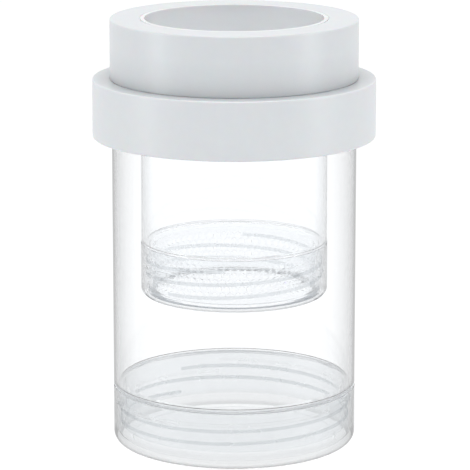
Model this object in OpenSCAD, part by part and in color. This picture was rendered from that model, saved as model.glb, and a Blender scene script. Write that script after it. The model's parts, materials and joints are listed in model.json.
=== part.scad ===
// Floating fish breeding box: a small clear tube with a honeycomb basket hangs from a
// foam collar inside a larger clear tube, which ends in a screw-on collecting cup.
// Millimetres, +Z up. The origin is the centre of the cup's underside and -Y is the front.

/* [Outer vessel] */
// Outside diameter of the outer tube and of the collecting cup
outer_od = 90; // [80:0.5:110]
// Wall thickness of the outer tube
outer_wall = 2; // [1.6:0.1:3]
// Length of the outer tube above its threaded neck
outer_tube_len = 114; // [100:1:160]
// Thickness of the flange that joins the outer neck to its tube
outer_flange_t = 1; // [0.8:0.1:2]
// Wall thickness of the outer neck below its flange
outer_neck_wall = 1.4; // [1.2:0.1:2]
// Length of the outer neck below its flange
outer_neck_len = 15.6; // [14.8:0.1:16]

/* [Collecting cup] */
// Height of the collecting cup, from its foot to its rim
cup_h = 21; // [20.4:0.1:24]
// Wall thickness of the cup
cup_wall = 2; // [1.6:0.1:2.4]
// Thickness of the cup's floor
cup_floor_t = 2; // [1.2:0.1:2.2]
// Depth of the shallow recess under the cup's floor
cup_recess = 0.6; // [0.3:0.1:0.8]
// Width of the foot ring that the cup stands on, with its rounded corner
cup_foot_w = 7; // [6:0.5:12]
// Radius of the rounded corner round the cup's foot
cup_corner = 4; // [3:0.5:5]
// Radius of the fillet round the inside of the cup's floor
cup_fillet = 2.5; // [1.5:0.5:3]
// Bevel round the outside of the cup's rim
cup_bevel = 0.4; // [0.2:0.1:0.8]
// Thickness of the silicone washer between the cup's rim and the neck's flange
washer_t = 0.6; // [0.5:0.1:1]

/* [Inner tube and basket] */
// Outside diameter of the inner tube
inner_od = 68.6; // [56:0.2:72]
// Wall thickness of the inner tube
inner_wall = 1.5; // [1.2:0.1:2]
// Length of the inner tube above its threaded neck
inner_tube_len = 82.5; // [60:0.5:84]
// Thickness of the flange that joins the inner neck to its tube
inner_flange_t = 0.8; // [0.6:0.1:1.5]
// Wall thickness of the inner neck below its flange
inner_neck_wall = 1.2; // [1:0.1:1.6]
// Gap between the honeycomb floor and the end of the inner neck
neck_to_floor = 0.5; // [0.4:0.1:0.8]
// How far the basket stands out past the inner tube, all round
basket_proud = 0.2; // [0:0.1:0.6]
// Height of the basket, from its underside to its rim
basket_h = 19.4; // [18.4:0.1:22]
// Wall thickness of the basket
basket_wall = 1.5; // [1.3:0.1:1.8]
// Radius of the rounded corner round the basket's foot
basket_corner = 3; // [2:0.5:3]
// Depth of the relief inside the basket's rim
rim_relief_h = 2.9; // [1.5:0.1:4]
// How much wider the basket's bore is in that relief
rim_relief = 0.4; // [0.2:0.1:0.6]
// Thickness of the ledge that carries the honeycomb floor
ledge_t = 1.2; // [1:0.1:1.6]
// Width of that ledge under the honeycomb floor
ledge_w = 2.9; // [2:0.1:5]

/* [Honeycomb] */
// Thickness of the honeycomb floor
floor_t = 1.2; // [1:0.1:1.4]
// Spacing of the honeycomb's holes, centre to centre
cell_pitch = 2.8; // [2.4:0.1:6]
// Width of the web between two holes
cell_web = 0.6; // [0.4:0.1:1]
// Width of the plain border round the honeycomb floor
floor_border = 2.6; // [1.6:0.1:6]
// Thickness of the honeycomb wall, which stands on the floor
wall_t = 1; // [0.8:0.1:1.2]
// Height of the honeycomb wall
wall_h = 16; // [10:0.1:17]
// Width of the plain border along the wall's top and foot
wall_border = 1.2; // [1:0.1:3]

/* [Foam floats] */
// Outside diameter of the lower float, on the outer tube
lower_float_od = 104; // [100:1:140]
// Height of the lower float
lower_float_h = 21.5; // [12:0.5:40]
// Outside diameter of the upper float, on the inner tube
upper_float_od = 91; // [88:0.5:120]
// Height of the upper float
upper_float_h = 22; // [12:0.5:40]
// Radius of the softened edges of both floats
float_edge = 0.6; // [0.3:0.1:2]

/* [Threads] */
// Pitch of the cup's single-start thread
cup_pitch = 4.6; // [4.4:0.1:5]
// Distance between turns of the basket's double-start thread
basket_pitch = 4.8; // [4.6:0.1:5]
// How far each thread stands out of its wall
thread_depth = 1; // [0.8:0.1:1.2]
// Width of a thread at its root
thread_root_w = 1.8; // [1.4:0.1:2]
// Width of a thread at its crest
thread_crest_w = 0.8; // [0.5:0.1:1.2]

/* [Clearances] */
// Gap between the crest of one thread and the wall that it faces
thread_gap = 0.35; // [0.3:0.05:0.5]
// Gap between a float's bore and the tube that it grips
float_gap = 0.05; // [0.02:0.01:0.1]
// Gap all round the honeycomb floor in its seat
floor_gap = 0.3; // [0.2:0.05:0.4]
// Gap between the honeycomb wall and the neck that it slides in
wall_gap = 0.35; // [0.3:0.05:0.5]
// Gap between the washer and the thread that it passes over
washer_gap = 0.5; // [0.35:0.05:0.8]

/* [Hidden] */
$fn = 96;
// Overlap that makes two shapes of one piece fuse
bite = 0.3;
// Steps in a full turn of a thread
thread_steps = 40;
// Degrees over which a thread grows to its full height at each end
thread_lead_in = 18;
// Share of its full height that a thread starts and ends with
thread_blunt = 0.5;
// Plain wall between the end of a neck and the root of its thread
thread_margin = 0.5;

outer_r = outer_od / 2;
outer_bore_r = outer_r - outer_wall;
cup_bore_r = outer_r - cup_wall;
outer_crest_r = cup_bore_r - thread_gap;
outer_root_r = outer_crest_r - thread_depth;
outer_neck_bore_r = outer_root_r - outer_neck_wall;
outer_joint_z = cup_h + washer_t;
outer_foot_z = outer_joint_z + outer_flange_t;
outer_rim_z = outer_foot_z + outer_tube_len;
outer_neck_z = outer_joint_z - outer_neck_len;
cup_floor_z = cup_recess + cup_floor_t;

inner_r = inner_od / 2;
inner_bore_r = inner_r - inner_wall;
basket_r = inner_r + basket_proud;
basket_bore_r = basket_r - basket_wall;
inner_crest_r = basket_bore_r - thread_gap;
inner_root_r = inner_crest_r - thread_depth;
inner_neck_bore_r = inner_root_r - inner_neck_wall;
inner_top_z = outer_rim_z + upper_float_h;
inner_foot_z = inner_top_z - inner_tube_len;
inner_joint_z = inner_foot_z - inner_flange_t;
basket_z = inner_joint_z - basket_h;
floor_z = basket_z + ledge_t;
inner_neck_z = floor_z + floor_t + neck_to_floor;

floor_seat_r = basket_bore_r - thread_depth;
floor_r = floor_seat_r - floor_gap;
ledge_r = floor_seat_r - ledge_w;
wall_r = inner_neck_bore_r - wall_gap;
wall_z = floor_z + floor_t;
honeycomb_row = cell_pitch * sqrt(3) / 2;

// The cup's thread climbs two turns up the outer neck, and one turn inside the cup
cup_thread_from = 120;
cup_thread_turns = 2;
cup_thread_z = outer_neck_z + thread_margin + thread_root_w / 2;
cup_female_from = 98;
cup_female_turns = 1;
cup_female_z = helix_z(cup_thread_z, cup_pitch, cup_thread_from, cup_female_from + 360)
    + cup_pitch / 2;
// The basket's thread has two starts, on the inner neck and inside the basket
basket_thread_from = -139;
basket_thread_turns = 1.12;
basket_thread_z = inner_neck_z + thread_margin + thread_root_w / 2;
basket_lead = 2 * basket_pitch;
basket_female_from = 100;
basket_female_turns = 0.36;
basket_female_z = helix_z(basket_thread_z, basket_lead, basket_thread_from,
    basket_female_from - 180) + basket_pitch / 2;

// Place of a thread's centre at an angle, for a helix that passes height z at angle a0
function helix_z(z, lead, a0, a) = z + lead * (a - a0) / 360;

// Share of its full height that a thread has at step k of n
function growth(k, n, step) =
    max(thread_blunt, min(1, k * step / thread_lead_in, (n - k) * step / thread_lead_in));

// One ring of four points across a thread: two in the wall, two on the crest
function rib_ring(a, z, wall_r, out, share) =
    let (
        sunk = wall_r - out * bite,
        tip = wall_r + out * share * thread_depth,
        half_root = thread_root_w / 2,
        half_crest = thread_crest_w / 2
    )
    [
        [sunk * cos(a), sunk * sin(a), z - half_root],
        [tip * cos(a), tip * sin(a), z - half_crest],
        [tip * cos(a), tip * sin(a), z + half_crest],
        [sunk * cos(a), sunk * sin(a), z + half_root],
    ];

// A helical rib on a round wall. out is 1 on the outside of a neck and -1 inside a cup
module rib(wall_r, out, z, lead, from, turns) {
    n = ceil(turns * thread_steps);
    step = turns * 360 / n;
    points = [
        for (k = [0:n])
            let (a = from + k * step)
            each rib_ring(a, helix_z(z, lead, from, a), wall_r, out, growth(k, n, step))
    ];
    sides = [
        for (k = [0:n - 1]) for (j = [0:3])
            let (p = 4 * k + j, q = 4 * k + (j + 1) % 4)
            each [[p, q, p + 4], [q, q + 4, p + 4]]
    ];
    ends = [[3, 2, 1], [3, 1, 0], [4 * n, 4 * n + 1, 4 * n + 2], [4 * n, 4 * n + 2, 4 * n + 3]];
    outward = concat(sides, ends);
    inward = [for (f = outward) [f[2], f[1], f[0]]];
    polyhedron(points = points, faces = out > 0 ? outward : inward, convexity = 8);
}

// A straight pipe that stands on height z
module pipe(r, bore_r, h, z) {
    translate([0, 0, z]) difference() {
        cylinder(r = r, h = h);
        translate([0, 0, -1]) cylinder(r = bore_r, h = h + 2);
    }
}

// Half of the outline of a round block whose lower corner is rounded
module rounded_foot(r, h, corner) {
    square([r - corner, h]);
    translate([0, corner]) square([r, h - corner]);
    translate([r - corner, corner]) circle(r = corner);
}

// Half of the outline of a ring whose four edges are softened
module soft_ring(bore_r, r, h, edge) {
    translate([bore_r + edge, 0]) square([r - bore_r - 2 * edge, h]);
    translate([bore_r, edge]) square([r - bore_r, h - 2 * edge]);
    for (x = [bore_r + edge, r - edge]) for (y = [edge, h - edge])
        translate([x, y]) circle(r = edge, $fn = 32);
}

// Screw-on cup that closes the outer tube and catches the eggs and fry
module collecting_cup() {
    color([0.88, 0.91, 0.93, 0.6]) {
        difference() {
            rotate_extrude() rounded_foot(outer_r, cup_h, cup_corner);
            rotate_extrude() translate([0, cup_floor_z])
                rounded_foot(cup_bore_r, cup_h, cup_fillet);
            translate([0, 0, -1]) cylinder(r = outer_r - cup_foot_w, h = 1 + cup_recess);
            rotate_extrude() polygon([
                [outer_r - cup_bevel, cup_h],
                [outer_r + bite, cup_h + bite],
                [outer_r + bite, cup_h - cup_bevel - bite],
                [outer_r, cup_h - cup_bevel],
            ]);
        }
        rib(cup_bore_r, -1, cup_female_z, cup_pitch, cup_female_from, cup_female_turns);
    }
}

// Flat silicone washer that lies on the cup's rim and seals it to the flange
module cup_washer() {
    color([0.95, 0.96, 0.96, 0.8])
        pipe(outer_r - cup_bevel, outer_crest_r + washer_gap, washer_t, cup_h);
}

// Threaded neck bonded to the foot of the outer tube
module outer_neck() {
    color([0.9, 0.93, 0.95, 0.5]) {
        pipe(outer_r, outer_neck_bore_r, outer_flange_t, outer_joint_z);
        pipe(outer_root_r, outer_neck_bore_r, outer_neck_len + outer_flange_t, outer_neck_z);
        rib(outer_root_r, 1, cup_thread_z, cup_pitch, cup_thread_from, cup_thread_turns);
    }
}

// Large clear tube that holds the lower chamber
module outer_tube() {
    color([0.93, 0.96, 0.98, 0.3])
        pipe(outer_r, outer_bore_r, outer_tube_len, outer_foot_z);
}

// Foam collar that floats the outer tube
module lower_float() {
    color([0.89, 0.91, 0.92]) translate([0, 0, outer_rim_z - lower_float_h])
        rotate_extrude()
            soft_ring(outer_r + float_gap, lower_float_od / 2, lower_float_h, float_edge);
}

// Foam collar that carries the inner tube and rests on the rim of the outer one
module upper_float() {
    color([0.88, 0.9, 0.91]) translate([0, 0, outer_rim_z])
        rotate_extrude()
            soft_ring(inner_r + float_gap, upper_float_od / 2, upper_float_h, float_edge);
}

// Small clear tube that hangs inside the large one
module inner_tube() {
    color([0.93, 0.96, 0.98, 0.3])
        pipe(inner_r, inner_bore_r, inner_tube_len, inner_foot_z);
}

// Threaded neck bonded to the foot of the inner tube
module inner_neck() {
    color([0.9, 0.93, 0.95, 0.5]) {
        pipe(inner_r, inner_neck_bore_r, inner_flange_t, inner_joint_z);
        pipe(inner_root_r, inner_neck_bore_r, inner_foot_z - inner_neck_z, inner_neck_z);
        for (start = [0, 180])
            rib(inner_root_r, 1, basket_thread_z, basket_lead, basket_thread_from + start,
                basket_thread_turns);
    }
}

// The honeycomb's hexagonal holes that fit inside radius r, in staggered rows
module honeycomb(r) {
    cell_r = (cell_pitch - cell_web) / sqrt(3);
    rows = floor(r / honeycomb_row);
    cells = floor(r / cell_pitch);
    for (j = [-rows:rows]) {
        shift = j % 2 == 0 ? 0 : cell_pitch / 2;
        for (i = [-cells - 1:cells]) {
            place = [i * cell_pitch + shift, j * honeycomb_row];
            if (norm(place) + cell_r <= r) translate(place) rotate(30) circle(r = cell_r, $fn = 6);
        }
    }
}

// Honeycomb disc that lies on the basket's ledge and lets eggs and fry fall through
module honeycomb_floor() {
    color([0.92, 0.94, 0.96, 0.7]) translate([0, 0, floor_z]) linear_extrude(floor_t)
        difference() {
            circle(r = floor_r);
            honeycomb(floor_r - floor_border);
        }
}

// Honeycomb sleeve that stands on the floor inside the neck. Its columns close the circle
module honeycomb_wall() {
    round_wall = 2 * PI * (wall_r - wall_t / 2);
    columns = floor(round_wall / cell_pitch);
    cell_r = (round_wall / columns - cell_web) / sqrt(3);
    rows = floor((wall_h - 2 * wall_border - 2 * cell_r) / honeycomb_row) + 1;
    first_z = wall_z + (wall_h - (rows - 1) * honeycomb_row) / 2;
    color([0.92, 0.94, 0.96, 0.7]) difference() {
        pipe(wall_r, wall_r - wall_t, wall_h, wall_z);
        for (j = [0:rows - 1]) for (i = [0:columns - 1])
            rotate((i + (j % 2) / 2) * 360 / columns)
                translate([wall_r - 2 * wall_t, 0, first_z + j * honeycomb_row])
                    rotate([0, 90, 0]) cylinder(r = cell_r, h = 3 * wall_t, $fn = 6);
    }
}

// Screw-on basket that closes the inner tube and holds the honeycomb floor
module basket() {
    color([0.88, 0.91, 0.93, 0.6]) {
        difference() {
            translate([0, 0, basket_z]) rotate_extrude()
                rounded_foot(basket_r, basket_h, basket_corner);
            translate([0, 0, basket_z - 1]) cylinder(r = ledge_r, h = basket_h);
            translate([0, 0, floor_z]) cylinder(r = floor_seat_r, h = basket_h);
            translate([0, 0, floor_z + floor_t + floor_gap])
                cylinder(r = basket_bore_r, h = basket_h);
            translate([0, 0, inner_joint_z - rim_relief_h])
                cylinder(r = basket_bore_r + rim_relief, h = rim_relief_h + 1);
        }
        for (start = [0, 180])
            rib(basket_bore_r, -1, basket_female_z, basket_lead, basket_female_from + start,
                basket_female_turns);
    }
}

collecting_cup();
cup_washer();
outer_neck();
outer_tube();
lower_float();
upper_float();
inner_tube();
inner_neck();
honeycomb_floor();
honeycomb_wall();
basket();
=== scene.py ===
"""Looks of a floating fish breeding box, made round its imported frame. Metres, +Z up, front -Y."""

import json
import math

import bpy
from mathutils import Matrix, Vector, noise

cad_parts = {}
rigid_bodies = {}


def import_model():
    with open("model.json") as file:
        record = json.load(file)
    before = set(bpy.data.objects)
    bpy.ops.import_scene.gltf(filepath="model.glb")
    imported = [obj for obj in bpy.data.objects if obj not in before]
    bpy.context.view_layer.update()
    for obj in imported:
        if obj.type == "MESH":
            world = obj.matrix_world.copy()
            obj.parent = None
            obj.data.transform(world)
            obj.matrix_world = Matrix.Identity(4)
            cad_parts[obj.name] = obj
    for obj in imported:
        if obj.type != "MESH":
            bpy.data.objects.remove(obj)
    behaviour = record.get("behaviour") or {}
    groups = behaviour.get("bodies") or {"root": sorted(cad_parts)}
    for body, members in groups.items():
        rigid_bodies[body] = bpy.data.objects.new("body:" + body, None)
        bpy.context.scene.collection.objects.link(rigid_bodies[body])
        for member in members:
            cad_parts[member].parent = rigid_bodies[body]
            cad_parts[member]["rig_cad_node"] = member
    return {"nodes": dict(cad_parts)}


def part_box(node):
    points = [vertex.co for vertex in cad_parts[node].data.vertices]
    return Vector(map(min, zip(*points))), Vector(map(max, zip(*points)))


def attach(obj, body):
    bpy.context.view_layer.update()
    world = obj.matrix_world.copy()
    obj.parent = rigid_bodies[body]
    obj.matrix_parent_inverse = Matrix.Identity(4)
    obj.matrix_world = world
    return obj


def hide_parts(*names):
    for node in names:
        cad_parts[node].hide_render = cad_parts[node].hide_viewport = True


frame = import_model()
for thing in list(bpy.context.scene.objects):
    if thing.type != "EMPTY" and "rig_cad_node" not in thing:
        bpy.data.objects.remove(thing)
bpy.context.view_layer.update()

MM = 0.001

# Sizes of the pieces, in metres. The radii and heights of each node come from the frame.
OUTER_WALL = 2 * MM
INNER_WALL = 1.5 * MM
RIM_ROUND = 0.25 * MM
BOND_GAP = 0.02 * MM
CUP_WALL = 2 * MM
CUP_FLOOR = 2 * MM
CUP_RECESS = 0.6 * MM
CUP_FOOT = 7 * MM
CUP_CORNER = 3.4 * MM
CUP_FILLET = 2 * MM
CUP_BEVEL = 0.4 * MM
NECK_WALL = 1.4 * MM
FLANGE = 1 * MM
INNER_NECK_WALL = 1.2 * MM
INNER_FLANGE = 0.8 * MM
BASKET_WALL = 1.5 * MM
BASKET_CORNER = 3 * MM
BASKET_LEDGE = 1.2 * MM
BASKET_LEDGE_WIDTH = 2.9 * MM
BASKET_RELIEF = 0.4 * MM
BASKET_RELIEF_DEPTH = 2.9 * MM
FLOOR_AND_GAP = 1.5 * MM
EDGE_ROUND = 0.2 * MM
FLOAT_GAP = 0.05 * MM
FOAM_EDGE = 0.6 * MM
FOAM_FOOT = 0.25 * MM
FOAM_STEP = 0.9 * MM

# Threads: sizes in metres, places as angles in degrees, lengths in turns
THREAD_GAP = 0.35 * MM
THREAD_DEPTH = 1 * MM
THREAD_ROOT = 1.8 * MM
THREAD_FOOT = 1.4 * MM
CUP_PITCH = 4.6 * MM
CUP_FEMALE_Z = 14.019 * MM
CUP_FEMALE_START, CUP_FEMALE_TURNS = 98, 1
OUTER_MALE_START, OUTER_MALE_TURNS = 120, 2
CUP_STARTS = 1
BASKET_LEAD = 9.6 * MM
BASKET_FEMALE_Z = 8.273 * MM
BASKET_FEMALE_START, BASKET_FEMALE_TURNS = 100, 0.36
INNER_MALE_START, INNER_MALE_TURNS = -139, 1.12
BASKET_STARTS = 2

# How finely curves are drawn
TUBE_SEGMENTS = 360
THREAD_SEGMENTS = 360
FOAM_SEGMENTS = 480
EDGE_STEPS = 3
RIM_STEPS = 4
FOAM_EDGE_STEPS = 5
CUP_CORNER_STEPS = 16
CUP_FILLET_STEPS = 12
BASKET_CORNER_STEPS = 14
SHARP_ANGLE = 34
ON_AXIS = 1e-9

# Cross-section of a thread: place across it and height, each as a share, and the faces of its crest
RIB_FLANK = [(-1, 0), (-0.88, 0.1), (-0.72, 0.5), (-0.56, 0.88), (-0.4, 1)]
RIB_PROFILE = RIB_FLANK + [(0, 1)] + [(-across, high) for across, high in reversed(RIB_FLANK)]
CREST = range(2, 8)

# Degrees over which a rib grows to its full height
RIB_LEAD_IN = 18

# How finely the places along a rib are numbered, in parts of one segment
KEYS_PER_STEP = 16

# Corners of an outline: which way the middle of its round lies, and the angle at which it starts
LOWER_OUTER = (-1, 1, -90)
UPPER_OUTER = (-1, -1, 0)
UPPER_INNER = (1, -1, 90)
LOWER_INNER = (1, 1, 180)

# The foam's skin sinks a little here and there, after a fractal noise of this increment, lacunarity
# and number of octaves
SINK_DEPTH = 0.045 * MM
SINK_SCALE = 140
SINK_NOISE = (1.0, 2.0, 3)
SINK_SEED_Y = 0.37
LOWER_SEED, UPPER_SEED = 3.1, 8.4

# Which material of a piece a face takes, and how far its normal turns for it
ON_SKIN, ON_RIB, ON_INSIDE, ON_BOND = 0, 1, 2, 3
ON_RIM = 1
ON_CUT = 1
SKIN_TURN = 0.3
WALL_TURN = 0.3
FLAT_TURN = 0.5


def box_of(node):
    """Outer radius, lowest and highest z of a round CAD node."""
    low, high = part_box(node)
    return (high.x - low.x) / 2, low.z, high.z


def wire(tree, node, values):
    """Links or sets a node's inputs, by name or number, and gives back its outputs."""
    for key, value in values.items():
        socket = node.inputs[key]
        if isinstance(value, bpy.types.NodeSocket):
            tree.links.new(value, socket)
        else:
            socket.default_value = (*value, 1) if socket.type == "RGBA" else value
    return node.outputs


def larger(tree, a, b):
    """The larger of two linked values."""
    node = tree.nodes.new("ShaderNodeMath")
    node.operation = "MAXIMUM"
    return wire(tree, node, {0: a, 1: b})["Value"]


def spread(tree, value, from_low=0, from_high=1, to_low=0, to_high=1):
    """A linked value carried from one range over to another."""
    node = tree.nodes.new("ShaderNodeMapRange")
    ends = {"From Min": from_low, "From Max": from_high, "To Min": to_low, "To Max": to_high}
    return wire(tree, node, {"Value": value, **ends})["Result"]


def mixed(tree, share, a, b, blend="MIX"):
    """Two colours mixed by a share."""
    node = tree.nodes.new("ShaderNodeMix")
    node.data_type = "RGBA"
    node.blend_type = blend
    return wire(tree, node, {"Factor": share, "A": a, "B": b})["Result"]


def times(tree, a, b):
    """Two colours multiplied."""
    return mixed(tree, 1, a, b, "MULTIPLY")


# Studio: a camera fitted to the rims in the photograph, lamps, world and floor
FOCAL_PX = 3031
FRAME_PX = 470
CAMERA_TARGET = Vector((0.0003, 0, 0.07734))
CAMERA_DISTANCE = 1.1221
CAMERA_ELEVATION = math.radians(12.6)
SENSOR_MM = 36
CLIP_NEAR, CLIP_FAR = 0.01, 20


def make_camera():
    data = bpy.data.cameras.new("camera")
    data.sensor_width = SENSOR_MM
    data.lens = SENSOR_MM * FOCAL_PX / FRAME_PX
    data.clip_start, data.clip_end = CLIP_NEAR, CLIP_FAR
    camera = bpy.data.objects.new("camera", data)
    away = Vector((0, -math.cos(CAMERA_ELEVATION), math.sin(CAMERA_ELEVATION)))
    camera.location = CAMERA_TARGET + away * CAMERA_DISTANCE
    camera.rotation_mode = "QUATERNION"
    camera.rotation_quaternion = (-away).to_track_quat("-Z", "Y")
    bpy.context.scene.collection.objects.link(camera)
    bpy.context.scene.camera = camera


# Area lamps: name, place, target, width, height and watts
LAMPS = [
    ("strip_left", (-1.2, -0.39, 0.10), (0, 0, 0.08), 0.3, 0.8, 2.3),
    ("strip_right", (1.2, -0.39, 0.10), (0, 0, 0.08), 0.3, 0.8, 2.3),
    ("top", (0, -0.25, 1.3), (0, 0, 0.1), 0.9, 0.9, 5.1),
]


def soft_box(name, place, target, width, height, watts):
    """A rectangular area lamp that faces its target."""
    data = bpy.data.lights.new(name, "AREA")
    data.shape = "RECTANGLE"
    data.size, data.size_y = width, height
    data.energy = watts
    lamp = bpy.data.objects.new(name, data)
    lamp.location = Vector(place)
    lamp.rotation_mode = "QUATERNION"
    lamp.rotation_quaternion = (Vector(target) - Vector(place)).to_track_quat("-Z", "Y")
    lamp.visible_camera = False
    bpy.context.scene.collection.objects.link(lamp)


def seen_rays(tree):
    """1 on rays from the camera or through gloss or glass, and 0 on rays that only light things."""
    path = tree.nodes.new("ShaderNodeLightPath").outputs
    through = larger(tree, path["Is Camera Ray"], path["Is Transmission Ray"])
    return larger(tree, through, path["Is Glossy Ray"])


WHITE = (1, 1, 1)
WORLD_GREY = (0.97, 0.985, 1.0)
WORLD_STRENGTH = 0.66


def background(tree, colour, strength):
    node = tree.nodes.new("ShaderNodeBackground")
    return wire(tree, node, {"Color": colour, "Strength": strength})["Background"]


def make_world():
    """White to the eye, a plain cool light on the object."""
    world = bpy.data.worlds.new("studio")
    world.use_nodes = True
    tree = world.node_tree
    tree.nodes.clear()
    light = background(tree, WORLD_GREY, WORLD_STRENGTH)
    white = background(tree, WHITE, 1)
    mix = tree.nodes.new("ShaderNodeMixShader")
    seen_or_light = wire(tree, mix, {"Fac": seen_rays(tree), 1: light, 2: white})
    wire(tree, tree.nodes.new("ShaderNodeOutputWorld"), {"Surface": seen_or_light["Shader"]})
    bpy.context.scene.world = world


FLOOR_HALF = 2.5
FLOOR_DROP = 0.05 * MM
FLOOR_GLOW = 0.84
FLOOR_SEEN = 0.26
FLOOR_ALBEDO = 0.86


def floor_material():
    """Pale, with a glow that only the eye sees."""
    material = bpy.data.materials.new("floor")
    material.use_nodes = True
    tree = material.node_tree
    tree.nodes.clear()
    seen = seen_rays(tree)
    tone = mixed(tree, seen, (FLOOR_ALBEDO,) * 3, (FLOOR_SEEN,) * 3)
    matt = wire(tree, tree.nodes.new("ShaderNodeBsdfDiffuse"), {"Color": tone})
    emission = tree.nodes.new("ShaderNodeEmission")
    strength = spread(tree, seen, to_high=FLOOR_GLOW)
    glow = wire(tree, emission, {"Color": WHITE, "Strength": strength})
    both = wire(tree, tree.nodes.new("ShaderNodeAddShader"), {0: matt["BSDF"], 1: glow["Emission"]})
    wire(tree, tree.nodes.new("ShaderNodeOutputMaterial"), {"Surface": both["Shader"]})
    return material


def make_floor():
    """A pale floor that reads as white where it is lit and keeps the object's soft shadow."""
    mesh = bpy.data.meshes.new("floor")
    corners = [(-1, -1), (1, -1), (1, 1), (-1, 1)]
    points = [(x * FLOOR_HALF, y * FLOOR_HALF, -FLOOR_DROP) for x, y in corners]
    mesh.from_pydata(points, [], [(0, 1, 2, 3)])
    mesh.materials.append(floor_material())
    floor = bpy.data.objects.new("floor", mesh)
    bpy.context.scene.collection.objects.link(floor)


# Materials: textures as noise scale and detail, reliefs as strength and distance
SMEARS = (90, 3)
RIPPLES = (90, 2)
RIPPLE_RELIEF = (0.06, 0.02 * MM)
DRAW_MARKS = (700, 2)
DRAW_STRETCH = (1, 1, 0.04)
DRAW_RELIEF = (0.03, 0.01 * MM)
SAW_GRAIN = (900, 4)
SAW_TEETH = (2500, 2)
SAW_RELIEF = (0.2, 0.02 * MM)
SILICONE_GRAIN = (800, 3)
FOAM_MOTTLE = (260, 5)
FOAM_SHEEN = (500, 3)
FOAM_DENTS = (420, 4)
DENT_RELIEF = (0.3, 0.05 * MM)
CELL_SCALE = 2600
CELL_RELIEF = (0.22, 0.06 * MM)

# Painted shade on the foam near other pieces: reach, how open a place is at its worst, and the tone it
# leaves
CONTACT_SHADE_REACH = 13 * MM
CONTACT_SHADE_FROM = 0.5
CONTACT_SHADE_TONE = 0.68

# How much each material bends light. The mouldings bend it less than polystyrene, as in the photograph.
ACRYLIC_IOR = 1.49
CUP_IOR = 1.025
BASKET_IOR = 1.02
HONEYCOMB_IOR = 1.025
SILICONE_IOR = 1.15
FOAM_IOR = 1.6

# Tones, and ranges of roughness
AIRY = (0.98, 0.99, 1)
MILKY = (0.955, 0.965, 0.972)
PEARL = (0.985, 0.99, 0.995)
# Painted shade: the grey of the necks' thread ribs, for the dark lines that ribs draw by bending light
THREAD_SHADE_GREY = (0.66, 0.69, 0.71)
CELL_TONE = (0.995, 0.998, 1)
DISC_TONE = (0.998, 0.999, 1)
SAWN_TONE = (0.93, 0.95, 0.96)
SILICONE_TONE = (0.95, 0.96, 0.97)
POLISHED = (0, 0.03)
FINE = (0.02, 0.06)
FROSTED = (0.22, 0.32)
MOULDED_COAT = 0.3

# Painted shade on clear walls, the share of its tone that a wall keeps as it turns away from the eye:
# (turn, share)
TUBE_EDGE_SHADE = [(0.25, 1), (0.43, 0.93), (0.55, 0.80), (0.70, 0.60), (0.78, 0.42), (0.88, 0)]
INNER_EDGE_SHADE = [(0.5, 1), (0.6, 0.9), (0.72, 0.75), (0.82, 0.58), (0.95, 0.1)]
CUP_EDGE_SHADE = [(0.3, 1), (0.5, 0.9), (0.69, 0.68), (0.85, 0.45)]

# Painted shade in a moulding's foot, darker towards the bottom: the share of its tone kept, as (height
# over FOOT_TALL, share)
FOOT_TALL = 7 * MM
CUP_FOOT_SHADE = [(0, 0.55), (0.1, 0.6), (0.17, 0.69), (0.24, 0.80), (0.31, 0.87), (0.76, 0.87), (1, 1)]
BASKET_FOOT_SHADE = [(0, 0.85), (0.05, 0.75), (0.11, 0.56), (0.17, 0.68), (0.24, 0.87), (0.31, 1)]


def new_material(name):
    material = bpy.data.materials.new(name)
    material.use_nodes = True
    tree = material.node_tree
    return material, tree, tree.nodes["Principled BSDF"]


def place_on(tree):
    """The place on the object, in its own space."""
    return tree.nodes.new("ShaderNodeTexCoord").outputs["Object"]


def noise_value(tree, grain, low=0, high=1, roughness=0.5, stretch=(1, 1, 1)):
    """A seamless noise of a scale and detail, spread between two values."""
    mapping = tree.nodes.new("ShaderNodeMapping")
    place = wire(tree, mapping, {"Vector": place_on(tree), "Scale": stretch})["Vector"]
    texture = tree.nodes.new("ShaderNodeTexNoise")
    scale, detail = grain
    values = {"Vector": place, "Scale": scale, "Detail": detail, "Roughness": roughness}
    return spread(tree, wire(tree, texture, values)["Fac"], to_low=low, to_high=high)


def bump(tree, height, relief, normal=None):
    """A normal that follows a height, on top of another normal where there is one."""
    strength, distance = relief
    values = {"Strength": strength, "Distance": distance, "Height": height}
    if normal is not None:
        values["Normal"] = normal
    return wire(tree, tree.nodes.new("ShaderNodeBump"), values)["Normal"]


def ramp_of(tree, value, stops):
    """A grey that follows a value between 0 and 1: a list of (value, grey)."""
    ramp = tree.nodes.new("ShaderNodeValToRGB")
    elements = ramp.color_ramp.elements
    while len(elements) < len(stops):
        elements.new(position=0.5)
    for element, (place, grey) in zip(elements, stops):
        element.position = place
        element.color = (grey, grey, grey, 1)
    return wire(tree, ramp, {"Fac": value})["Color"]


def edge_shade_ramp(tree, stops):
    """A grey of painted shade that follows how far a clear wall is turned from the eye."""
    facing = wire(tree, tree.nodes.new("ShaderNodeLayerWeight"), {"Blend": 0.5})["Facing"]
    return ramp_of(tree, facing, stops)


def foot_shade_ramp(tree, foot, foot_shade):
    """A grey of painted shade that darkens towards the bottom of a moulding's rounded foot, which stands
    at height foot.
    """
    parts = wire(tree, tree.nodes.new("ShaderNodeSeparateXYZ"), {"Vector": place_on(tree)})
    return ramp_of(tree, spread(tree, parts["Z"], foot, foot + FOOT_TALL), foot_shade)


def alpha_for(tree, shade):
    """Lets lamps and diffuse light pass a clear wall: shade for those rays, 1 for what is seen."""
    path = tree.nodes.new("ShaderNodeLightPath").outputs
    lighting = larger(tree, path["Is Shadow Ray"], path["Is Diffuse Ray"])
    return spread(tree, lighting, to_low=1, to_high=shade)


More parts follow.
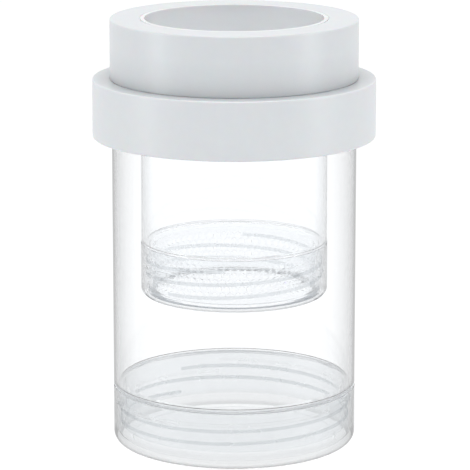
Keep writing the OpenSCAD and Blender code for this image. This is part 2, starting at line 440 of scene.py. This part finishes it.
def clear_plastic(name, ior, tone, haze, rough, shade, edge=None, moulded=True, foot=0, foot_shade=None):
    """A see-through plastic with a milky haze.

    Its edge stops and foot stops paint shade: they make it greyer where the wall turns away, and towards
    the bottom of the foot. A tube, which isn't moulded, also lets less light through where it turns away,
    as painted shade.
    """
    material, tree, shader = new_material(name)
    clearness = 1 - haze
    if edge:
        # Painted shade where the wall turns away from the eye
        turned = edge_shade_ramp(tree, edge)
        tone = times(tree, turned, tone)
        if not moulded:
            clearness = times(tree, turned, (clearness,) * 3)
    # Painted shade towards the bottom of the foot
    if foot_shade:
        tone = times(tree, tone, foot_shade_ramp(tree, foot, foot_shade))
    looks = {
        "Base Color": tone,
        "IOR": ior,
        "Transmission Weight": clearness,
        "Roughness": noise_value(tree, SMEARS, *rough),
        "Alpha": alpha_for(tree, shade),
    }
    if moulded:
        marks = bump(tree, noise_value(tree, DRAW_MARKS, stretch=DRAW_STRETCH), DRAW_RELIEF)
        looks["Normal"] = bump(tree, noise_value(tree, RIPPLES), RIPPLE_RELIEF, marks)
        looks["Coat Weight"] = MOULDED_COAT
    wire(tree, shader, looks)
    return material


def sawn_acrylic():
    """The matt white rim of a sawn acrylic tube."""
    material, tree, shader = new_material("sawn_acrylic")
    wire(tree, shader, {
        "Base Color": SAWN_TONE,
        "IOR": ACRYLIC_IOR,
        "Subsurface Weight": 0.3,
        "Subsurface Scale": 1 * MM,
        "Roughness": noise_value(tree, SAW_GRAIN, 0.35, 0.6),
        "Normal": bump(tree, noise_value(tree, SAW_TEETH), SAW_RELIEF),
    })
    return material


def silicone():
    """Milky silicone with a dusty satin skin."""
    material, tree, shader = new_material("silicone")
    wire(tree, shader, {
        "Base Color": SILICONE_TONE,
        "IOR": SILICONE_IOR,
        "Transmission Weight": 0.6,
        "Roughness": noise_value(tree, SILICONE_GRAIN, 0.35, 0.5),
    })
    return material


def contact_shaded(tree, colour):
    """A colour darkened by painted shade where another piece rests close by."""
    corner = tree.nodes.new("ShaderNodeAmbientOcclusion")
    corner.samples = 8
    free = wire(tree, corner, {"Distance": CONTACT_SHADE_REACH})["AO"]
    return times(tree, colour, spread(tree, free, from_low=CONTACT_SHADE_FROM, to_low=CONTACT_SHADE_TONE))


def float_foam(name, dark, light, skin=True):
    """Closed-cell foam: cool white, with a soft sheen, fine cells and a faint mottle.

    A skin gets painted shade in its corners, and a cut face is duller.
    """
    material, tree, shader = new_material(name)
    colour = mixed(tree, noise_value(tree, FOAM_MOTTLE, roughness=0.6), dark, light)
    cells = tree.nodes.new("ShaderNodeTexVoronoi")
    depth = wire(tree, cells, {"Vector": place_on(tree), "Scale": CELL_SCALE})["Distance"]
    dents = noise_value(tree, FOAM_DENTS)
    wire(tree, shader, {
        # The skin's colour carries painted shade in its corners
        "Base Color": contact_shaded(tree, colour) if skin else colour,
        "IOR": FOAM_IOR,
        "Specular IOR Level": 1 if skin else 0.3,
        "Subsurface Weight": 0.25,
        "Subsurface Scale": 1.5 * MM,
        "Roughness": noise_value(tree, FOAM_SHEEN, 0.28, 0.38),
        "Normal": bump(tree, dents, DENT_RELIEF, bump(tree, depth, CELL_RELIEF)),
    })
    return material


# Pieces
def new_mesh(name, points, faces, materials):
    mesh = bpy.data.meshes.new(name)
    mesh.from_pydata(points, [], faces)
    for material in materials:
        mesh.materials.append(material)
    return mesh


def new_piece(mesh, sharp_angle=None):
    """A smooth object whose normals follow its large faces.

    So a tall wall beside a rounded edge doesn't bend what is seen through it.
    """
    mesh.shade_smooth()
    if sharp_angle is not None:
        mesh.set_sharp_from_angle(angle=math.radians(sharp_angle))
    piece = bpy.data.objects.new(mesh.name, mesh)
    bpy.context.scene.collection.objects.link(piece)
    weighted = piece.modifiers.new("flat_walls", "WEIGHTED_NORMAL")
    weighted.mode = "FACE_AREA"
    weighted.weight = 100
    weighted.keep_sharp = True
    return piece


def lathe(name, outline, segments, materials, material_of):
    """A closed outline of (radius, z) points, turned round the Z axis."""
    count = len(outline)
    points = []
    for k in range(segments):
        angle = 2 * math.pi * k / segments
        points += [(r * math.cos(angle), r * math.sin(angle), z) for r, z in outline]
    faces = []
    for k in range(segments):
        here, there = k * count, (k + 1) % segments * count
        for j in range(count):
            n = (j + 1) % count
            faces.append((here + j, there + j, there + n, here + n))
    mesh = new_mesh(name, points, faces, materials)
    for face in mesh.polygons:
        face.material_index = material_of(face)
    return new_piece(mesh)


def arc(cx, cz, radius, start, end, steps):
    """Points of an arc, angles in degrees."""
    angles = [math.radians(start + (end - start) * k / steps) for k in range(steps + 1)]
    return [(cx + radius * math.cos(a), cz + radius * math.sin(a)) for a in angles]


def rounded(r, z, corner, radius=EDGE_ROUND, steps=EDGE_STEPS):
    """A quarter turn that rounds the corner at (r, z)."""
    out, up, start = corner
    return arc(r + out * radius, z + up * radius, radius, start, start + 90, steps)


def soft_outline(inner, outer, low, high, foot, edge, steps, spacing=None):
    """The outline of a ring with four rounded edges, up its outer wall and down its inner one.

    foot is the radius of the lower outer edge and edge that of the others. With a spacing, the
    stretches between them get points too.
    """
    corners = [
        rounded(outer, low, LOWER_OUTER, foot, steps),
        rounded(outer, high, UPPER_OUTER, edge, steps),
        rounded(inner, high, UPPER_INNER, edge, steps),
        rounded(inner, low, LOWER_INNER, edge, steps),
    ]
    points = []
    for corner, following in zip(corners, corners[1:] + corners[:1]):
        points += corner
        if spacing:
            a, b = Vector(corner[-1]), Vector(following[0])
            parts = max(1, round((b - a).length / spacing))
            points += [tuple(a.lerp(b, k / parts)) for k in range(1, parts)]
    return points


class Thread:
    """A helical rib on a wall: its first angle, turns, lead, height at its beginning and starts.

    out is 1 for a rib on the outside of a wall and -1 for one in a bore.
    """

    def __init__(self, start, turns, lead, z, starts, out=1):
        self.start, self.degrees, self.lead, self.z = start, turns * 360, lead, z
        self.starts, self.out = starts, out

    def crossings(self, angle, step):
        """Each place where the rib crosses the wall at an angle: key, height and share of its depth."""
        found = []
        for start in range(self.starts):
            along = (angle - self.start - 360 / self.starts * start) % 360
            while along <= self.degrees:
                room = min(along, self.degrees - along)
                share = 0 if room < step else min(1, room / RIB_LEAD_IN)
                smooth = share * share * (3 - 2 * share)
                key = (start, round(along / step * KEYS_PER_STEP))
                found.append((key, self.z + self.lead * along / 360, smooth))
                along += 360
        return sorted(found, key=lambda crossing: crossing[1])


def threaded_lathe(name, before, after, wall, thread, materials):
    """A turned piece whose wall between two stretches of outline carries a helical rib.

    before and after are (radius, z) points, and the rib stands on radius wall between them. Where a
    stretch begins or ends on the axis, its points meet in one vertex.
    """
    step = 360 / THREAD_SEGMENTS
    rising = thread.out > 0
    points, poles, columns = [], {}, []

    def vertex(angle, r, z):
        if r < ON_AXIS:
            if z not in poles:
                poles[z] = len(points)
                points.append((0, 0, z))
            return poles[z]
        points.append((r * math.cos(angle), r * math.sin(angle), z))
        return len(points) - 1

    def stretch(place, outline, angle):
        return [((place, j), [vertex(angle, r, z)]) for j, (r, z) in enumerate(outline)]

    # A column of vertices at each angle: up to the wall, each crossing of the rib, and on from the wall
    for k in range(THREAD_SEGMENTS):
        angle = math.radians(k * step)
        column = stretch("before", before, angle)
        crossings = thread.crossings(k * step, step)
        for key, z, share in crossings if rising else reversed(crossings):
            depth = thread.out * THREAD_DEPTH * share
            profile = RIB_PROFILE if rising else reversed(RIB_PROFILE)
            rib = [
                vertex(angle, wall + depth * high, z + THREAD_ROOT / 2 * across)
                for across, high in profile
            ]
            column.append((key, rib))
        columns.append(column + stretch("after", after, angle))
    closed = before[0][0] > ON_AXIS
    faces, indices = [], []

    def add(face, index):
        ring = [v for n, v in enumerate(face) if v != face[n - 1]]
        if len(ring) > 2:
            faces.append(ring)
            indices.append(index)

    # Neighbouring columns join where they match, and one face fills what lies between two matches
    for k in range(THREAD_SEGMENTS):
        here, there = columns[k], columns[(k + 1) % THREAD_SEGMENTS]
        places = {key: n for n, (key, _) in enumerate(there)}
        matched = []
        for n, (key, _) in enumerate(here):
            on_rib = isinstance(key[0], int)
            following = (key[0], key[1] + KEYS_PER_STEP) if on_rib else key
            if following in places:
                matched.append((n, places[following]))
        for i, (n, m) in enumerate(matched):
            mine, yours = here[n][1], there[m][1]
            for j in range(len(mine) - 1):
                index = ON_RIB if j in CREST else ON_SKIN
                add([mine[j], yours[j], yours[j + 1], mine[j + 1]], index)
            last = i == len(matched) - 1
            if last and not closed:
                break
            n2, m2 = matched[0] if last else matched[i + 1]
            left = [v for item in here[n + 1:n2] for v in item[1]] if not last else []
            right = [v for item in there[m + 1:m2] for v in item[1]] if not last else []
            ends = [there[m2][1][0], here[n2][1][0]]
            add([mine[-1], yours[-1], *right, *ends, *reversed(left)], ON_SKIN)
    mesh = new_mesh(name, points, faces, materials)
    mesh.polygons.foreach_set("material_index", indices)
    for face in mesh.polygons:
        outward = face.normal.xy.dot(face.center.xy.normalized())
        if face.material_index == ON_SKIN and outward < SKIN_TURN:
            face.material_index = ON_INSIDE
    return new_piece(mesh, SHARP_ANGLE)


def stand_for(piece, node, body):
    """The piece takes the place of a CAD node and moves with its body."""
    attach(piece, body)
    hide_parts(node)


def clear_tube(name, node, body, wall, materials):
    """An acrylic tube with a sawn rim, a hair above the flange that it is bonded to."""
    radius, low, high = box_of(node)
    outline = soft_outline(radius - wall, radius, low + BOND_GAP, high, RIM_ROUND, RIM_ROUND, RIM_STEPS)

    def skin_rim_or_inside(face):
        if face.normal.z > FLAT_TURN:
            return ON_RIM
        outside = face.center.xy.length > radius - wall / 2
        return ON_SKIN if outside and abs(face.normal.z) < WALL_TURN else ON_INSIDE

    tube = lathe(name, outline, TUBE_SEGMENTS, materials, skin_rim_or_inside)
    stand_for(tube, node, body)


def foam_collar(name, node, body, bore, foot, foams, seed):
    """A die-cut foam ring with softened edges, a slightly uneven skin and a cut bore painted paler, as
    painted light.
    """
    radius, low, high = box_of(node)
    outline = soft_outline(bore, radius, low, high, foot, FOAM_EDGE, FOAM_EDGE_STEPS, FOAM_STEP)
    middle = (bore + radius) / 2

    def cut_or_skin(face):
        in_bore = face.center.xy.length < middle and abs(face.normal.z) < FLAT_TURN
        return ON_CUT if in_bore else ON_SKIN

    collar = lathe(name, outline, FOAM_SEGMENTS, foams, cut_or_skin)
    offset = Vector((seed, seed * SINK_SEED_Y, -seed))
    for vertex in collar.data.vertices:
        at = vertex.co
        sink = noise.fractal(at * SINK_SCALE + offset, *SINK_NOISE) * SINK_DEPTH
        away = Vector((at.x, at.y, 0)).normalized()
        if at.xy.length > middle:
            vertex.co = at - away * max(0.0, sink)
    stand_for(collar, node, body)


def collecting_cup(materials):
    """The screw-on cup: rounded foot, recess below, filleted floor and a turn of thread inside."""
    radius, low, high = box_of("collecting_cup")
    bore = radius - CUP_WALL
    floor = low + CUP_RECESS + CUP_FLOOR
    foot = radius - CUP_FOOT
    before = [(0, low + CUP_RECESS), (foot - EDGE_ROUND, low + CUP_RECESS)]
    before += rounded(foot, low, LOWER_INNER)
    before += rounded(radius, low, LOWER_OUTER, CUP_CORNER, CUP_CORNER_STEPS)
    before += rounded(radius, high, UPPER_OUTER, CUP_BEVEL, RIM_STEPS)
    before += rounded(bore, high, UPPER_INNER)
    after = arc(bore - CUP_FILLET, floor + CUP_FILLET, CUP_FILLET, 0, -90, CUP_FILLET_STEPS)
    after.append((0, floor))
    thread = Thread(CUP_FEMALE_START, CUP_FEMALE_TURNS, CUP_PITCH, low + CUP_FEMALE_Z, CUP_STARTS, out=-1)
    cup = threaded_lathe("collecting_cup_moulding", before, after, bore, thread, materials)
    stand_for(cup, "collecting_cup", "cup")


def neck(name, node, body, tube_node, root, wall, flange, thread, materials):
    """A threaded neck with a flange, which is bonded to the foot of its tube.

    thread is its first angle, turns, lead and starts.
    """
    _, low, high = box_of(node)
    outer = box_of(tube_node)[0]
    bore, under = root - wall, high - flange
    start, turns, lead, starts = thread
    before = rounded(bore, low, LOWER_INNER) + rounded(root, low, LOWER_OUTER)
    after = [(root, under)]
    after += rounded(outer, under, LOWER_OUTER) + rounded(outer, high, UPPER_OUTER)
    after += rounded(bore, high, UPPER_INNER)
    rib = Thread(start, turns, lead, low + THREAD_FOOT, starts)
    piece = threaded_lathe(name, before, after, root, rib, materials)
    for face in piece.data.polygons:
        if face.center.z > under - EDGE_ROUND:
            face.material_index = ON_BOND
    stand_for(piece, node, body)


def basket(materials):
    """The screw-on basket: an open rounded foot, a ledge for the honeycomb and two thread starts."""
    radius, low, high = box_of("basket")
    bore = radius - BASKET_WALL
    seat = bore - THREAD_DEPTH
    ledge, ledge_z = seat - BASKET_LEDGE_WIDTH, low + BASKET_LEDGE
    relief, relief_z = bore + BASKET_RELIEF, high - BASKET_RELIEF_DEPTH
    step_z = ledge_z + FLOOR_AND_GAP
    before = rounded(ledge, ledge_z, UPPER_INNER) + rounded(ledge, low, LOWER_INNER)
    before += rounded(radius, low, LOWER_OUTER, BASKET_CORNER, BASKET_CORNER_STEPS)
    before += rounded(radius, high, UPPER_OUTER) + rounded(relief, high, UPPER_INNER)
    before += [(relief, relief_z), (bore, relief_z)]
    after = [(bore, step_z), (seat, step_z), (seat, ledge_z)]
    thread = Thread(BASKET_FEMALE_START, BASKET_FEMALE_TURNS, BASKET_LEAD, low + BASKET_FEMALE_Z,
                    BASKET_STARTS, out=-1)
    piece = threaded_lathe("basket_moulding", before, after, bore, thread, materials)
    stand_for(piece, "basket", "basket_cup")


def dress(node, material):
    """Gives a CAD node its finished material."""
    for slot in frame["nodes"][node].material_slots:
        slot.material = material


make_camera()
make_world()
make_floor()
for lamp in LAMPS:
    soft_box(*lamp)

# Finishes of the tubes and the foam
acrylic = clear_plastic("tube_acrylic", ACRYLIC_IOR, AIRY, haze=0, rough=POLISHED, shade=0.06,
                        edge=TUBE_EDGE_SHADE, moulded=False)
inner_acrylic = clear_plastic("inner_acrylic", ACRYLIC_IOR, AIRY, haze=0, rough=POLISHED, shade=0.03,
                              edge=INNER_EDGE_SHADE, moulded=False)
acrylic_bore = clear_plastic("tube_bore", ACRYLIC_IOR, WHITE, haze=0, rough=POLISHED, shade=0.03,
                             moulded=False)
sawn = sawn_acrylic()
# One foam for both collars: the lower collar's copy is painted a little lighter than the upper's, as
# painted light
upper_foam = float_foam("float_foam", dark=(0.755, 0.78, 0.80), light=(0.795, 0.82, 0.84))
lower_foam = float_foam("lower_foam", dark=(0.785, 0.81, 0.83), light=(0.825, 0.85, 0.87))
# The cut bores' foam is painted paler than the skin: painted light that brightens the deep, dim bores
painted_light_bore_foam = float_foam("painted_light_bore_foam", dark=(0.96, 0.975, 0.99), light=(0.98, 0.99, 1), skin=False)

# Finishes of the cup and its neck
cup_look = clear_plastic("cup_plastic", CUP_IOR, MILKY, haze=0.2, rough=FINE, shade=0.12,
                         edge=CUP_EDGE_SHADE, foot_shade=CUP_FOOT_SHADE)
cup_inside = clear_plastic("cup_inside", CUP_IOR, MILKY, haze=0.05, rough=FINE, shade=0.08)
cup_rib = clear_plastic("cup_thread", CUP_IOR, MILKY, haze=0.14, rough=FROSTED, shade=0.12)
neck_look = clear_plastic("neck_plastic", CUP_IOR, MILKY, haze=0.10, rough=FINE, shade=0.08)
# The neck's thread ribs are painted grey, as painted shade
neck_rib = clear_plastic("neck_thread", CUP_IOR, THREAD_SHADE_GREY, haze=0.23, rough=FROSTED, shade=0.12)
bond = clear_plastic("neck_flange", CUP_IOR, PEARL, haze=0.12, rough=FINE, shade=0.08)
washer = silicone()

# Finishes of the basket, its neck and the honeycomb
basket_look = clear_plastic("basket_plastic", BASKET_IOR, PEARL, haze=0.04, rough=FINE, shade=0.05,
                            edge=CUP_EDGE_SHADE, foot=box_of("basket")[1], foot_shade=BASKET_FOOT_SHADE)
basket_inside = clear_plastic("basket_inside", BASKET_IOR, PEARL, haze=0.015, rough=FINE, shade=0.03)
basket_rib = clear_plastic("basket_thread", BASKET_IOR, PEARL, haze=0.06, rough=FROSTED, shade=0.08)
inner_neck_look = clear_plastic("inner_neck_plastic", BASKET_IOR, PEARL, haze=0.015, rough=FINE,
                                shade=0.03)
# The inner neck's thread ribs are painted grey, as painted shade
inner_neck_rib = clear_plastic("inner_neck_thread", BASKET_IOR, THREAD_SHADE_GREY, haze=0.10, rough=FROSTED,
                               shade=0.06)
honeycomb_look = clear_plastic("honeycomb_plastic", HONEYCOMB_IOR, CELL_TONE, haze=0.04, rough=FINE,
                               shade=0.02)
honeycomb_flat = clear_plastic("honeycomb_disc", HONEYCOMB_IOR, DISC_TONE, haze=0.015, rough=FINE,
                               shade=0.01)

# The pieces, from the outer tube to the honeycomb
outer_r = box_of("outer_tube")[0]
inner_r = box_of("inner_tube")[0]
outer_root = outer_r - CUP_WALL - THREAD_GAP - THREAD_DEPTH
inner_root = box_of("basket")[0] - BASKET_WALL - THREAD_GAP - THREAD_DEPTH
clear_tube("outer_clear_tube", "outer_tube", "outer_vessel", OUTER_WALL,
           [acrylic, sawn, acrylic_bore])
clear_tube("inner_clear_tube", "inner_tube", "inner_vessel", INNER_WALL,
           [inner_acrylic, sawn, acrylic_bore])
foam_collar("lower_foam_collar", "lower_float", "lower_collar", outer_r + FLOAT_GAP, FOAM_EDGE,
            [lower_foam, painted_light_bore_foam], LOWER_SEED)
foam_collar("upper_foam_collar", "upper_float", "upper_collar", inner_r + FLOAT_GAP, FOAM_FOOT,
            [upper_foam, painted_light_bore_foam], UPPER_SEED)
collecting_cup([cup_look, cup_rib, cup_inside])
neck("outer_neck_moulding", "outer_neck", "outer_vessel", "outer_tube", outer_root, NECK_WALL, FLANGE,
     (OUTER_MALE_START, OUTER_MALE_TURNS, CUP_PITCH, CUP_STARTS),
     [neck_look, neck_rib, neck_look, bond])
neck("inner_neck_moulding", "inner_neck", "inner_vessel", "inner_tube", inner_root, INNER_NECK_WALL,
     INNER_FLANGE, (INNER_MALE_START, INNER_MALE_TURNS, BASKET_LEAD, BASKET_STARTS),
     [inner_neck_look, inner_neck_rib, inner_neck_look, bond])
basket([basket_look, basket_rib, basket_inside])
dress("honeycomb_floor", honeycomb_flat)
dress("honeycomb_wall", honeycomb_look)
dress("cup_washer", washer)

scene = bpy.context.scene
scene.view_settings.view_transform = "Standard"
scene.cycles.max_bounces = 128
scene.cycles.transmission_bounces = 128
scene.cycles.glossy_bounces = 12
scene.cycles.transparent_max_bounces = 64
scene.cycles.diffuse_bounces = 10
